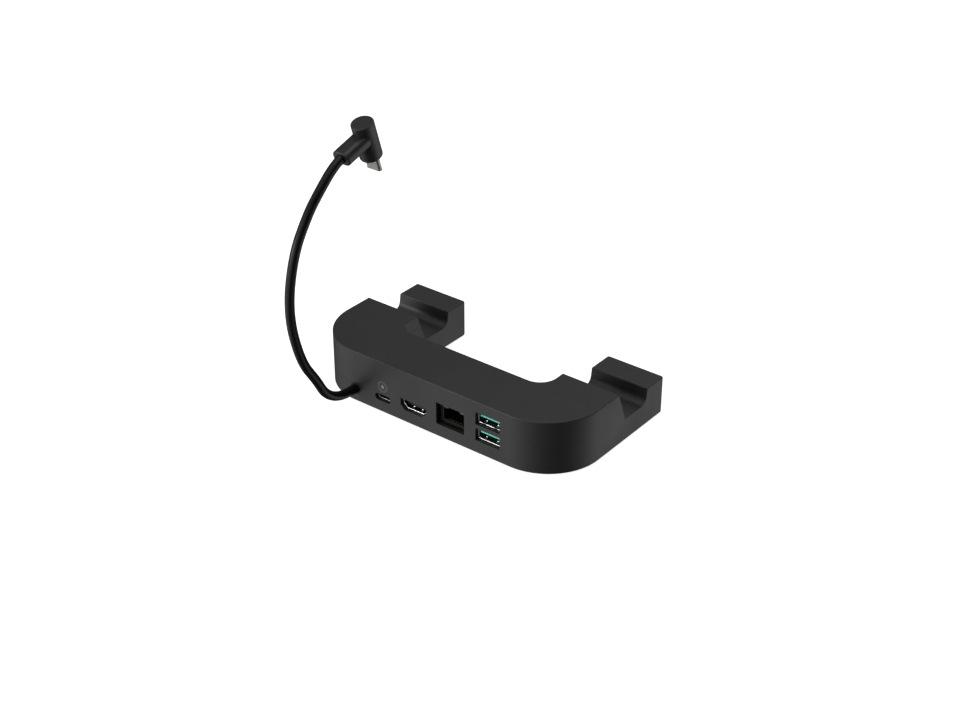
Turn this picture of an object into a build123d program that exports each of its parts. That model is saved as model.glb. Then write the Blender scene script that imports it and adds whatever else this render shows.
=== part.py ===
from build123d import *
from math import pi, radians, sqrt, tan
import os

# A dock for a handheld game console: a U-shaped housing that stands on rubber feet, with a row of
# sockets in its rear face, two cradle arms whose grooves hold the console leaning back, and a
# captive lead that arches over the housing to a right-angle plug.
# +X runs along the row of sockets, +Y from the sockets to the cradle prongs, +Z up. The origin is
# on the floor, under the middle of the housing.

os.makedirs("parts", exist_ok=True)

# Housing
width = 151.0
depth = 82.4
body_height = 27.4
wall = 2.0
corner_radius = 28.7
bar_depth = 29.8
arm_width = 31.6
notch_radius = 9.0
edge_radius = 0.7
prong_edge_radius = 1.1
toe_radius = 1.8
seam_gap = 0.15
base_thickness = 2.2

# Cradle grooves: setbacks from the rear face, heights above the housing's lower edge
lip_setback = 44.3
back_lean = 20.5
groove_height = 11.2
prong_setback = 68.6
prong_lean = 8.0
prong_height = 19.3
groove_radius = 4.0

# Feet and the screws that hold the base plate
foot_height = 0.8
foot_radius = 5.5
foot_recess = 0.8
foot_gap = 0.1
foot_chamfer = 0.25
rear_foot_inset = 29.5
rear_foot_setback = 11.5
front_foot_inset = 9.5
screw_radius = 1.1
screw_length = 6.0
screw_head_radius = 2.2
screw_head_height = 1.3
screw_gap = 0.2
boss_radius = 3.2
bar_boss_x = 60.0
bar_boss_setback = 19.0
groove_boss_gap = 2.0

# Main board, standing on posts
board_clearance = 4.3
board_thickness = 1.6
board_left = -52.0
board_right = 47.0
board_rear_gap = 1.2
board_front_gap = 1.0
lead_bay_edge = -41.0
lead_bay_depth = 12.0
post_radius = 2.4
post_inset = 2.9
post_rear_inset = 3.6

# What is soldered to the board: place along X, distance in from the front edge, footprint, height
board_blocks = {
    "hub_chip": (-20.5, 6.3, 8.0, 8.0, 0.9),
    "video_chip": (-9.7, 6.3, 7.0, 7.0, 0.9),
    "network_transformer": (35.2, 4.6, 12.7, 7.0, 4.0),
    "power_inductor": (-31.0, 6.3, 7.0, 7.0, 3.2),
    "crystal": (-0.8, 5.3, 2.5, 3.2, 0.8),
}
block_chamfer = 0.1
network_chip_width = 4.6
network_chip_height = 0.9
network_chip_inset = 8.0
capacitor_x = -38.2
capacitor_inset = 6.4
capacitor_pitch = 6.2
capacitor_radius = 2.5
capacitor_height = 5.4
capacitor_chamfer = 0.4
terminal_width = 8.0
terminal_length = 5.4
terminal_height = 4.5
terminal_overhang = 0.1

# Sockets: each one's place along the rear face, and its own standard size
socket_gap = 0.15
cutout_gap = 0.35
shell_thickness = 0.3
core_depth = 2.0
tongue_setback = 0.9
spring_height = 0.5
spring_reach = 1.1
spring_width = 1.3
spring_setback = 2.2
power_x = -28.5
power_width = 8.94
power_height = 3.26
power_length = 7.3
power_tongue_width = 6.7
power_tongue_thickness = 0.7
video_x = -9.7
video_width = 14.8
video_height = 5.1
video_slant = 2.3
video_length = 10.5
video_standoff = 0.7
video_tongue_width = 11.1
video_tongue_thickness = 1.5
video_leg_width = 1.4
video_leg_pitch = 6.3
network_x = 12.4
network_width = 15.8
network_height = 12.6
network_length = 17.0
network_setback = 3.0
network_overlap = 0.55
mouth_width = 11.9
mouth_height = 6.1
mouth_sill = 2.7
mouth_depth = 13.0
latch_width = 6.6
latch_rise = 1.6
latch_slot_width = 4.2
latch_slot_rise = 2.3
window_width = 3.0
window_height = 2.3
window_depth = 3.0
window_offset = 5.5
contact_count = 8
contact_pitch = 1.02
contact_width = 0.42
contact_thickness = 0.3
contact_setback = 1.0
contact_rise = 1.3
type_a_x = 34.2
type_a_width = 13.2
type_a_height = 5.7
type_a_length = 13.5
type_a_standoff = 1.0
type_a_pitch = 8.6
tongue_thickness = 1.84
tongue_side_gap = 0.7
tongue_rise = 0.57
data_tongue_setback = 0.15
flat_contacts = [-3.5, -1.0, 1.0, 3.5]
flat_contact_width = 1.0
flat_contact_thickness = 0.2
flat_contact_setback = 1.8

# Status light, its guide and diode, and the ring printed round it
ring_height = 13.8
ring_radius = 3.05
ring_stroke = 1.0
ring_depth = 0.3
light_radius = 0.95
led_setback = 12.0
led_width = 1.6
led_height = 0.6
guide_collar = 1.0
guide_gap = 0.2

# Lead, its moulded strain relief and its plug
lead_x = -45.9
lead_height = 6.6
lead_diameter = 4.6
gland_radius = 3.0
gland_proud = 0.3
gland_flange_radius = 4.0
gland_flange = 1.6
arm_length = 17.7
arm_breadth = 9.7
arm_thickness = 6.9
arm_corner = 2.9
head_radius = 5.45
head_length = 19.2
head_rise = 7.7
head_edge = 0.5
head_foot_edge = 1.1
nose_width = 8.25
nose_height = 2.4
nose_length = 6.6
nose_slot_width = 7.05
nose_slot_height = 0.8

# The lead's route, as steps out from the strain relief (toward -Y) and up
route_steps = [
    (0, 0),
    (7.4, 0),
    (15.2, 2.7),
    (21.5, 8.2),
    (25.8, 16.7),
    (35.6, 31.4),
    (41.9, 59.5),
    (36.2, 86.2),
    (25.8, 101.9),
    (18.9, 109),
    (7.4, 119.17),
    (2.7, 120.6),
]

# Levels and lines that follow from the sizes above
rear = -depth / 2
front = depth / 2
bottom = foot_height
top = bottom + body_height
ceiling = top - wall
base_top = bottom + base_thickness
arm_x = (width - arm_width) / 2
notch_width = width - 2 * arm_width
lip = rear + lip_setback
groove_floor = bottom + groove_height
prong_top = bottom + prong_height
back_foot = lip + (top - groove_floor) * tan(radians(back_lean))
prong_inner = rear + prong_setback
prong_foot = prong_inner - (prong_top - groove_floor) * tan(radians(prong_lean))
board_bottom = bottom + board_clearance
board_top = board_bottom + board_thickness
board_rear = rear + wall + board_rear_gap
board_front = rear + bar_depth - wall - board_front_gap
lead_bay_front = board_rear + lead_bay_depth - board_rear_gap
socket_face = rear + wall + socket_gap
power_z = board_top + power_height / 2
video_z = board_top + video_standoff + video_height / 2
type_a_low_z = board_top + type_a_standoff + type_a_height / 2
type_a_high_z = type_a_low_z + type_a_pitch
network_face = rear + network_setback
network_top = board_top + network_height
mouth_floor = board_top + mouth_sill
mouth_top = mouth_floor + mouth_height
ring_z = bottom + ring_height
lead_z = bottom + lead_height
flange_bend = max(0.0, gland_flange_radius - lead_x - (width / 2 - corner_radius))
flange_seat = rear + corner_radius - sqrt((corner_radius - wall) ** 2 - flange_bend**2)
gland_face = rear - gland_proud
tail_start = flange_seat + gland_flange
beyond = 5.0

# Places of what repeats
rear_foot_x = width / 2 - rear_foot_inset
base_screw_spots = [
    (-bar_boss_x, rear + bar_boss_setback),
    (bar_boss_x, rear + bar_boss_setback),
    (-arm_x, back_foot + groove_boss_gap + boss_radius),
    (arm_x, back_foot + groove_boss_gap + boss_radius),
]
foot_spots = {
    "foot_rear_left": (-rear_foot_x, rear + rear_foot_setback),
    "foot_rear_right": (rear_foot_x, rear + rear_foot_setback),
    "foot_front_left": (-arm_x, front - front_foot_inset),
    "foot_front_right": (arm_x, front - front_foot_inset),
}
between_sockets = (network_x + network_width / 2 + type_a_x - type_a_width / 2) / 2
post_spots = [
    (lead_bay_edge + post_inset, board_rear + post_rear_inset),
    (board_right - post_inset, board_rear + post_rear_inset),
    (board_left + post_inset, board_front - post_inset),
    (between_sockets, board_front - post_inset),
]


def rear_plane(x, y, z):
    """A sketch plane parallel to the rear face, seen from outside, with its normal toward -Y."""
    return Plane(origin=(x, y, z), x_dir=(1, 0, 0), z_dir=(0, -1, 0))


def body_plan(inset):
    """Plan of the housing, moved in by inset: round rear corners, and a notch between two arms."""
    with BuildSketch() as plan:
        Rectangle(width, depth)
        fillet(plan.vertices().group_by(Axis.Y)[0], corner_radius)
        with Locations((0, front)):
            RectangleRounded(notch_width, 2 * (depth - bar_depth), notch_radius, mode=Mode.SUBTRACT)
        if inset > 0:
            offset(amount=-inset, mode=Mode.REPLACE)
    return plan.sketch


def cradle_section(growth):
    """What the groove and the low prong take away, in Y and Z, grown on every side by growth."""
    with BuildSketch() as section:
        with BuildLine():
            Polyline(
                (lip, top),
                (back_foot, groove_floor),
                (prong_foot, groove_floor),
                (prong_inner, prong_top),
                (front + beyond, prong_top),
                (front + beyond, top + beyond),
                (lip, top + beyond),
                close=True,
            )
        make_face()
        corner = section.vertices().sort_by_distance((prong_foot, groove_floor))[0]
        fillet(corner, groove_radius)
        if growth > 0:
            offset(amount=growth, kind=Kind.INTERSECTION, mode=Mode.REPLACE)
    return section.sketch


def video_profile(growth):
    """Outline of the video socket: a flat top and two slanted lower corners."""
    half = video_width / 2
    rise = video_height / 2
    with BuildSketch() as profile:
        with BuildLine():
            Polyline(
                (-half, rise),
                (-half, video_slant - rise),
                (video_slant - half, -rise),
                (half - video_slant, -rise),
                (half, video_slant - rise),
                (half, rise),
                close=True,
            )
        make_face()
        if growth != 0:
            offset(amount=growth, kind=Kind.INTERSECTION, mode=Mode.REPLACE)
    return profile.sketch


def network_profile():
    """Mouth of the network socket: a wide plug space with a stepped latch slot above it."""
    with BuildSketch() as profile:
        with Locations((0, mouth_floor)):
            Rectangle(mouth_width, mouth_height, align=(Align.CENTER, Align.MIN))
        with Locations((0, mouth_top)):
            Rectangle(latch_width, latch_rise, align=(Align.CENTER, Align.MIN))
            Rectangle(latch_slot_width, latch_slot_rise, align=(Align.CENTER, Align.MIN))
    return profile.sketch


# Upper shell: the moulded housing, open underneath
with BuildPart() as cavity:
    with BuildSketch(Plane.XY.offset(bottom)):
        add(body_plan(wall))
    extrude(amount=body_height - wall)
    with BuildSketch(Plane.YZ):
        add(cradle_section(wall))
    extrude(amount=width / 2, both=True, mode=Mode.SUBTRACT)

with BuildPart() as upper_shell:
    with BuildSketch(Plane.XY.offset(bottom)):
        add(body_plan(0))
    extrude(amount=body_height)
    with BuildSketch(Plane.YZ):
        add(cradle_section(0))
    extrude(amount=width / 2, both=True, mode=Mode.SUBTRACT)
    fillet(upper_shell.edges().filter_by(Axis.Z).group_by(Axis.Y)[-1], prong_edge_radius)
    level_faces = upper_shell.faces().filter_by(Axis.Z).group_by(Axis.Z)
    fillet(level_faces[-1].edges() + level_faces[-2].edges(), edge_radius)

    # the prongs' toes are cut round, and the housing's other lower edges stay sharp
    with BuildSketch(Plane.YZ):
        with Locations((front, bottom)):
            Rectangle(2 * toe_radius, 2 * toe_radius)
        with Locations((front - toe_radius, bottom + toe_radius)):
            Circle(toe_radius, mode=Mode.SUBTRACT)
    extrude(amount=width / 2, both=True, mode=Mode.SUBTRACT)
    add(cavity.part, mode=Mode.SUBTRACT)

    # screw bosses: two from the roof of the bar, two from under the grooves
    with BuildSketch(Plane.XY.offset(base_top)):
        with Locations(*base_screw_spots[:2]):
            Circle(boss_radius)
    extrude(amount=ceiling - base_top)
    with BuildSketch(Plane.XY.offset(base_top)):
        with Locations(*base_screw_spots[2:]):
            Circle(boss_radius)
    extrude(amount=groove_floor - wall - base_top)
    with BuildSketch(Plane.XY.offset(base_top)):
        with Locations(*base_screw_spots):
            Circle(screw_radius)
    extrude(amount=screw_length, mode=Mode.SUBTRACT)

    # cut-outs in the rear wall
    with BuildSketch(rear_plane(power_x, rear, power_z)):
        SlotOverall(power_width + 2 * cutout_gap, power_height + cutout_gap)
    extrude(amount=-wall, mode=Mode.SUBTRACT)
    with BuildSketch(rear_plane(video_x, rear, video_z)):
        add(video_profile(cutout_gap))
    extrude(amount=-wall, mode=Mode.SUBTRACT)
    with BuildSketch(rear_plane(network_x, rear, 0)):
        with Locations((0, (board_top + network_top) / 2)):
            Rectangle(network_width + 2 * cutout_gap, network_height - 2 * network_overlap)
    extrude(amount=-wall, mode=Mode.SUBTRACT)
    with BuildSketch(rear_plane(type_a_x, rear, 0)):
        with Locations((0, type_a_low_z), (0, type_a_high_z)):
            Rectangle(type_a_width + 2 * cutout_gap, type_a_height + 2 * cutout_gap)
    extrude(amount=-wall, mode=Mode.SUBTRACT)
    with BuildSketch(rear_plane(lead_x, rear, lead_z)):
        Circle(gland_radius)
    extrude(amount=rear - flange_seat, mode=Mode.SUBTRACT)

    # the status light's hole, and the shallow ring round it
    with BuildSketch(rear_plane(power_x, rear, ring_z)):
        Circle(light_radius)
    extrude(amount=-wall, mode=Mode.SUBTRACT)
    with BuildSketch(rear_plane(power_x, rear, ring_z)):
        Circle(ring_radius)
        Circle(ring_radius - ring_stroke, mode=Mode.SUBTRACT)
    extrude(amount=-ring_depth, mode=Mode.SUBTRACT)
upper_shell.part.label = "upper_shell"
export_step(upper_shell.part, "parts/upper_shell.step")

# Base plate: closes the housing from below and carries the board on posts
with BuildPart() as base_plate:
    with BuildSketch(Plane.XY.offset(bottom)):
        add(body_plan(wall + seam_gap))
    extrude(amount=base_thickness)
    with BuildSketch(Plane.XY.offset(base_top)):
        with Locations(*post_spots):
            Circle(post_radius)
    extrude(amount=board_bottom - base_top)
    with BuildSketch(Plane.XY.offset(bottom)):
        with Locations(*base_screw_spots):
            Circle(screw_radius + screw_gap)
    extrude(amount=base_thickness, mode=Mode.SUBTRACT)
    with BuildSketch(Plane.XY.offset(bottom)):
        with Locations(*base_screw_spots):
            Circle(screw_head_radius + screw_gap)
    extrude(amount=screw_head_height, mode=Mode.SUBTRACT)
    with BuildSketch(Plane.XY.offset(bottom)):
        with Locations(*foot_spots.values()):
            Circle(foot_radius + foot_gap)
    extrude(amount=foot_recess, mode=Mode.SUBTRACT)
    with BuildSketch(Plane.XY.offset(board_bottom)):
        with Locations(*post_spots):
            Circle(screw_radius)
    extrude(amount=base_top - board_bottom, mode=Mode.SUBTRACT)
base_plate.part.label = "base_plate"
export_step(base_plate.part, "parts/base_plate.step")

# Feet: rubber discs let into the base plate
for name, spot in foot_spots.items():
    with BuildPart() as foot:
        with BuildSketch():
            with Locations(spot):
                Circle(foot_radius)
        extrude(amount=foot_height + foot_recess)
        chamfer(foot.faces().sort_by(Axis.Z)[0].edges(), foot_chamfer)
    foot.part.label = name
    export_step(foot.part, f"parts/{name}.step")

# Screws: heads let into the base plate, shanks in the bosses
with BuildPart() as base_screws:
    with BuildSketch(Plane.XY.offset(bottom)):
        with Locations(*base_screw_spots):
            Circle(screw_head_radius)
    extrude(amount=screw_head_height)
    with BuildSketch(Plane.XY.offset(bottom + screw_head_height)):
        with Locations(*base_screw_spots):
            Circle(screw_radius)
    extrude(amount=base_thickness - screw_head_height + screw_length)
base_screws.part.label = "base_screws"
export_step(base_screws.part, "parts/base_screws.step")

# Main board: its left rear corner is cut away for the lead
with BuildPart() as main_board:
    with BuildSketch(Plane.XY.offset(board_bottom)):
        with Locations((board_left, board_rear)):
            Rectangle(board_right - board_left, board_front - board_rear, align=(Align.MIN, Align.MIN))
            Rectangle(
                lead_bay_edge - board_left,
                lead_bay_front - board_rear,
                align=(Align.MIN, Align.MIN),
                mode=Mode.SUBTRACT,
            )
        with Locations(*post_spots):
            Circle(screw_radius + screw_gap, mode=Mode.SUBTRACT)
    extrude(amount=board_thickness)
main_board.part.label = "main_board"
export_step(main_board.part, "parts/main_board.step")

with BuildPart() as board_screws:
    with BuildSketch(Plane.XY.offset(board_top)):
        with Locations(*post_spots):
            Circle(screw_head_radius)
    extrude(amount=screw_head_height)
    with BuildSketch(Plane.XY.offset(board_top)):
        with Locations(*post_spots):
            Circle(screw_radius)
    extrude(amount=base_top - board_top)
board_screws.part.label = "board_screws"
export_step(board_screws.part, "parts/board_screws.step")

# Chips and other blocks on the board: middle, footprint and height
blocks = {
    name: (x, board_front - inset, breadth, length, height)
    for name, (x, inset, breadth, length, height) in board_blocks.items()
}
blocks["network_chip"] = (
    between_sockets,
    board_rear + network_chip_inset,
    network_chip_width,
    network_chip_width,
    network_chip_height,
)
blocks["lead_terminal"] = (
    lead_x,
    lead_bay_front - terminal_overhang + terminal_length / 2,
    terminal_width,
    terminal_length,
    terminal_height,
)
blocks["status_led"] = (power_x, rear + led_setback, led_width, led_width, led_height)
for name, (x, y, breadth, length, height) in blocks.items():
    with BuildPart() as block:
        with BuildSketch(Plane.XY.offset(board_top)):
            with Locations((x, y)):
                Rectangle(breadth, length)
        extrude(amount=height)
        chamfer(block.faces().sort_by(Axis.Z)[-1].edges(), block_chamfer)
    block.part.label = name
    export_step(block.part, f"parts/{name}.step")

with BuildPart() as capacitors:
    with BuildSketch(Plane.XY.offset(board_top)):
        with Locations((capacitor_x, board_front - capacitor_inset)):
            with GridLocations(0, capacitor_pitch, 1, 2):
                Circle(capacitor_radius)
    extrude(amount=capacitor_height)
    chamfer(capacitors.faces().sort_by(Axis.Z)[-2:].edges(), capacitor_chamfer)
capacitors.part.label = "capacitors"
export_step(capacitors.part, "parts/capacitors.step")

# Power inlet: a flat round-ended tube on the board, with a tongue in its middle
with BuildPart() as power_inlet_shell:
    with BuildSketch(rear_plane(power_x, socket_face, power_z)):
        SlotOverall(power_width, power_height)
        SlotOverall(power_width - 2 * shell_thickness, power_height - 2 * shell_thickness, mode=Mode.SUBTRACT)
    extrude(amount=-power_length)
power_inlet_shell.part.label = "power_inlet_shell"
export_step(power_inlet_shell.part, "parts/power_inlet_shell.step")

with BuildPart() as power_inlet_core:
    with BuildSketch(rear_plane(power_x, socket_face + power_length, power_z)):
        SlotOverall(power_width - 2 * shell_thickness, power_height - 2 * shell_thickness)
    extrude(amount=core_depth)
    with BuildSketch(rear_plane(power_x, socket_face + tongue_setback, power_z)):
        Rectangle(power_tongue_width, power_tongue_thickness)
    extrude(amount=tongue_setback - power_length + core_depth)
power_inlet_core.part.label = "power_inlet_core"
export_step(power_inlet_core.part, "parts/power_inlet_core.step")


def spring_section(z):
    """Side view of a contact spring: a low arc that rises from the wall at height z."""
    middle = socket_face + spring_setback
    with BuildSketch() as section:
        with BuildLine():
            Line((middle - spring_reach, z), (middle + spring_reach, z))
            ThreePointArc((middle - spring_reach, z), (middle, z + spring_height), (middle + spring_reach, z))
        make_face()
    return section.sketch


# Video socket: a shell with slanted lower corners, on four legs, round a tongue
with BuildPart() as video_socket_shell:
    with BuildSketch(rear_plane(video_x, socket_face, video_z)):
        add(video_profile(0))
        add(video_profile(-shell_thickness), mode=Mode.SUBTRACT)
    extrude(amount=-video_length)
    with BuildSketch(Plane.XY.offset(board_top)):
        with Locations((video_x, socket_face + video_length / 2)):
            with GridLocations(video_width - shell_thickness, video_leg_pitch, 2, 2):
                Rectangle(shell_thickness, video_leg_width)
    extrude(amount=video_standoff + video_slant)
    for side in (-1, 1):
        with BuildSketch(Plane.YZ.offset(video_x + side * video_width / 6)):
            add(spring_section(video_z - video_height / 2 + shell_thickness))
        extrude(amount=spring_width / 2, both=True)
video_socket_shell.part.label = "video_socket_shell"
export_step(video_socket_shell.part, "parts/video_socket_shell.step")

with BuildPart() as video_socket_core:
    with BuildSketch(rear_plane(video_x, socket_face + video_length, video_z)):
        add(video_profile(-shell_thickness))
    extrude(amount=core_depth)
    with BuildSketch(rear_plane(video_x, socket_face + tongue_setback, video_z)):
        Rectangle(video_tongue_width, video_tongue_thickness)
    extrude(amount=tongue_setback - video_length + core_depth)
    with BuildSketch(rear_plane(video_x, socket_face + video_length, board_top)):
        Rectangle(video_width, video_standoff + video_height, align=(Align.CENTER, Align.MIN))
    extrude(amount=-core_depth)
video_socket_core.part.label = "video_socket_core"
export_step(video_socket_core.part, "parts/video_socket_core.step")

# Network socket: a housing under a bent shield, eight contact wires and two indicator windows
with BuildPart() as network_shield:
    with BuildSketch(rear_plane(network_x, network_face, board_top)):
        Rectangle(network_width, network_height, align=(Align.CENTER, Align.MIN))
        Rectangle(
            network_width - 2 * shell_thickness,
            network_height - shell_thickness,
            align=(Align.CENTER, Align.MIN),
            mode=Mode.SUBTRACT,
        )
    extrude(amount=-network_length)
network_shield.part.label = "network_shield"
export_step(network_shield.part, "parts/network_shield.step")

with BuildPart() as network_housing:
    with BuildSketch(rear_plane(network_x, network_face, board_top)):
        Rectangle(
            network_width - 2 * shell_thickness,
            network_height - shell_thickness,
            align=(Align.CENTER, Align.MIN),
        )
    extrude(amount=-network_length)
    with BuildSketch(rear_plane(network_x, network_face, 0)):
        add(network_profile())
    extrude(amount=-mouth_depth, mode=Mode.SUBTRACT)
    with BuildSketch(rear_plane(network_x, network_face, mouth_top + shell_thickness)):
        with Locations((-window_offset, 0), (window_offset, 0)):
            Rectangle(window_width, window_height, align=(Align.CENTER, Align.MIN))
    extrude(amount=-window_depth, mode=Mode.SUBTRACT)
network_housing.part.label = "network_housing"
export_step(network_housing.part, "parts/network_housing.step")

for side, name in ((-1, "network_light_left"), (1, "network_light_right")):
    with BuildPart() as window:
        with BuildSketch(rear_plane(network_x, network_face, mouth_top + shell_thickness)):
            with Locations((side * window_offset, 0)):
                Rectangle(window_width, window_height, align=(Align.CENTER, Align.MIN))
        extrude(amount=-window_depth)
    window.part.label = name
    export_step(window.part, f"parts/{name}.step")

with BuildPart() as network_contacts:
    for number in range(contact_count):
        along = network_x + (number - (contact_count - 1) / 2) * contact_pitch
        with BuildSketch(Plane.YZ.offset(along)):
            with BuildLine():
                Polyline(
                    (network_face + contact_setback, mouth_floor),
                    (network_face + mouth_depth, mouth_floor + contact_rise),
                    (network_face + mouth_depth, mouth_floor + contact_rise + contact_thickness),
                    (network_face + contact_setback, mouth_floor + contact_thickness),
                    close=True,
                )
            make_face()
        extrude(amount=contact_width / 2, both=True)
network_contacts.part.label = "network_contacts"
export_step(network_contacts.part, "parts/network_contacts.step")

# Two stacked data sockets in one frame, each a shell round a tongue with flat contacts under it
for name, level in (("lower", type_a_low_z), ("upper", type_a_high_z)):
    with BuildPart() as type_a_shell:
        with BuildSketch(rear_plane(type_a_x, socket_face, level)):
            RectangleRounded(type_a_width, type_a_height, 2 * shell_thickness)
            offset(amount=-shell_thickness, mode=Mode.SUBTRACT)
        extrude(amount=-type_a_length)
        for side in (-1, 1):
            with BuildSketch(Plane.YZ.offset(type_a_x + side * type_a_width / 4)):
                add(spring_section(level - type_a_height / 2 + shell_thickness))
            extrude(amount=spring_width / 2, both=True)
    type_a_shell.part.label = f"type_a_shell_{name}"
    export_step(type_a_shell.part, f"parts/type_a_shell_{name}.step")

    with BuildPart() as type_a_core:
        with BuildSketch(rear_plane(type_a_x, socket_face + type_a_length, level)):
            RectangleRounded(
                type_a_width - 2 * shell_thickness, type_a_height - 2 * shell_thickness, shell_thickness
            )
        extrude(amount=core_depth)
        with BuildSketch(rear_plane(type_a_x, socket_face + data_tongue_setback, level)):
            with Locations((0, tongue_rise)):
                Rectangle(
                    type_a_width - 2 * shell_thickness - 2 * tongue_side_gap,
                    tongue_thickness,
                    align=(Align.CENTER, Align.MIN),
                )
        extrude(amount=data_tongue_setback - type_a_length + core_depth)
    type_a_core.part.label = f"type_a_core_{name}"
    export_step(type_a_core.part, f"parts/type_a_core_{name}.step")

    with BuildPart() as type_a_contacts:
        with BuildSketch(rear_plane(type_a_x, socket_face + flat_contact_setback, level + tongue_rise)):
            with Locations(*[(x, 0) for x in flat_contacts]):
                Rectangle(flat_contact_width, flat_contact_thickness, align=(Align.CENTER, Align.MAX))
        extrude(amount=flat_contact_setback - type_a_length + core_depth)
    type_a_contacts.part.label = f"type_a_contacts_{name}"
    export_step(type_a_contacts.part, f"parts/type_a_contacts_{name}.step")

with BuildPart() as type_a_frame:
    with BuildSketch(Plane.YZ.offset(type_a_x)):
        with Locations((socket_face + type_a_length, board_top)):
            Rectangle(
                core_depth,
                type_a_high_z + type_a_height / 2 - board_top,
                align=(Align.MIN, Align.MIN),
            )
        with Locations((socket_face, type_a_low_z + type_a_height / 2)):
            Rectangle(type_a_length, type_a_pitch - type_a_height, align=(Align.MIN, Align.MIN))
        with Locations((socket_face + core_depth, board_top)):
            Rectangle(type_a_length - core_depth, type_a_standoff, align=(Align.MIN, Align.MIN))
    extrude(amount=type_a_width / 2 - shell_thickness, both=True)
type_a_frame.part.label = "type_a_frame"
export_step(type_a_frame.part, "parts/type_a_frame.step")

# Status light: a clear guide from the rear face to just above the diode on the board
guide_foot = board_top + led_height + guide_gap
with BuildPart() as light_guide:
    with BuildSketch(rear_plane(power_x, rear, ring_z)):
        Circle(light_radius)
    extrude(amount=-led_setback - light_radius)
    with BuildSketch(rear_plane(power_x, rear + wall, ring_z)):
        Circle(light_radius + guide_collar)
    extrude(amount=-guide_collar)
    with BuildSketch(Plane.XY.offset(guide_foot)):
        with Locations((power_x, rear + led_setback)):
            Rectangle(2 * light_radius, 2 * light_radius)
    extrude(amount=ring_z - guide_foot)
light_guide.part.label = "status_light_guide"
export_step(light_guide.part, "parts/status_light_guide.step")

with BuildPart() as ring_mark:
    with BuildSketch(rear_plane(power_x, rear, ring_z)):
        Circle(ring_radius)
        Circle(ring_radius - ring_stroke, mode=Mode.SUBTRACT)
    extrude(amount=-ring_depth)
ring_mark.part.label = "ring_mark"
export_step(ring_mark.part, "parts/ring_mark.step")

# Lead: moulded strain relief in the wall, inner tail, and the free arch outside
with BuildPart() as cable_gland:
    with BuildSketch(rear_plane(lead_x, gland_face, lead_z)):
        Circle(gland_radius)
    extrude(amount=gland_face - flange_seat)
    with BuildSketch(rear_plane(lead_x, flange_seat, lead_z)):
        Circle(gland_flange_radius)
    extrude(amount=-gland_flange)
cable_gland.part.label = "cable_gland"
export_step(cable_gland.part, "parts/cable_gland.step")

with BuildPart() as lead_tail:
    with BuildSketch(rear_plane(lead_x, tail_start, lead_z)):
        Circle(lead_diameter / 2)
    extrude(amount=tail_start - lead_bay_front + terminal_overhang)
lead_tail.part.label = "lead_tail"
export_step(lead_tail.part, "parts/lead_tail.step")

route = [Vector(lead_x, gland_face - out, lead_z + up) for out, up in route_steps]
radii = []
for before, point, after in zip(route, route[1:], route[2:]):
    turn = (point - before).get_angle(after - point)
    shorter = min((point - before).length, (after - point).length)
    radii.append(0.45 * shorter / tan(radians(turn / 2)))
print("lead radii:", [round(radius, 1) for radius in radii])

with BuildPart() as lead:
    with BuildLine() as lead_path:
        FilletPolyline(*route, radius=radii)
    with BuildSketch(Plane(origin=route[0], x_dir=(1, 0, 0), z_dir=(0, -1, 0))):
        Circle(lead_diameter / 2)
    sweep(path=lead_path.wires()[0])
lead.part.label = "lead"
export_step(lead.part, "parts/lead.step")
lead_length = lead_path.wires()[0].length
print("lead length:", round(lead_length, 1))
lead_section = pi * (lead_diameter / 2) ** 2
print("lead volume over section times length:", round(lead.part.volume / (lead_length * lead_section), 4))

# Right-angle plug: a flat arm that takes the lead, a round head across it, and a metal nose
arm_direction = (route[-1] - route[-2]).normalized()
nose_direction = Vector(1, 0, 0).cross(arm_direction) * -1
head_top = route[-1] + arm_direction * arm_length - nose_direction * head_rise
nose_root = head_top + nose_direction * head_length
arm_plane = Plane(origin=route[-1], x_dir=(1, 0, 0), z_dir=arm_direction)
head_plane = Plane(origin=head_top, x_dir=(1, 0, 0), z_dir=nose_direction)
nose_plane = Plane(origin=nose_root, x_dir=(1, 0, 0), z_dir=nose_direction)
with BuildPart() as plug_body:
    with BuildSketch(arm_plane):
        RectangleRounded(arm_breadth, arm_thickness, arm_corner)
    extrude(amount=arm_length)
    fillet(plug_body.faces().sort_by(Axis.Y)[0].edges(), edge_radius)
    with BuildSketch(head_plane):
        Circle(head_radius)
    extrude(amount=head_length)
    for number, radius in ((0, head_foot_edge), (-1, head_edge)):
        rims = plug_body.edges().filter_by(GeomType.CIRCLE).filter_by(lambda rim: rim.is_closed)
        rims = rims.filter_by(lambda rim: abs(rim.radius - head_radius) < seam_gap)
        fillet(rims.sort_by(Axis.Z)[number], radius)
plug_body.part.label = "plug_body"
export_step(plug_body.part, "parts/plug_body.step")

with BuildPart() as plug_nose:
    with BuildSketch(nose_plane):
        SlotOverall(nose_width, nose_height)
        SlotOverall(nose_width - 2 * shell_thickness, nose_height - 2 * shell_thickness, mode=Mode.SUBTRACT)
    extrude(amount=nose_length)
plug_nose.part.label = "plug_nose"
export_step(plug_nose.part, "parts/plug_nose.step")

with BuildPart() as plug_core:
    with BuildSketch(nose_plane):
        SlotOverall(nose_width - 2 * shell_thickness, nose_height - 2 * shell_thickness)
    extrude(amount=nose_length - shell_thickness)
    with BuildSketch(nose_plane.offset(core_depth)):
        SlotOverall(nose_slot_width, nose_slot_height)
    extrude(amount=nose_length, mode=Mode.SUBTRACT)
plug_core.part.label = "plug_core"
export_step(plug_core.part, "parts/plug_core.step")
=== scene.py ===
"""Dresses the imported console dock: its lead, plug, sockets, screws and finishes, and the studio round it."""

import math

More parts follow.
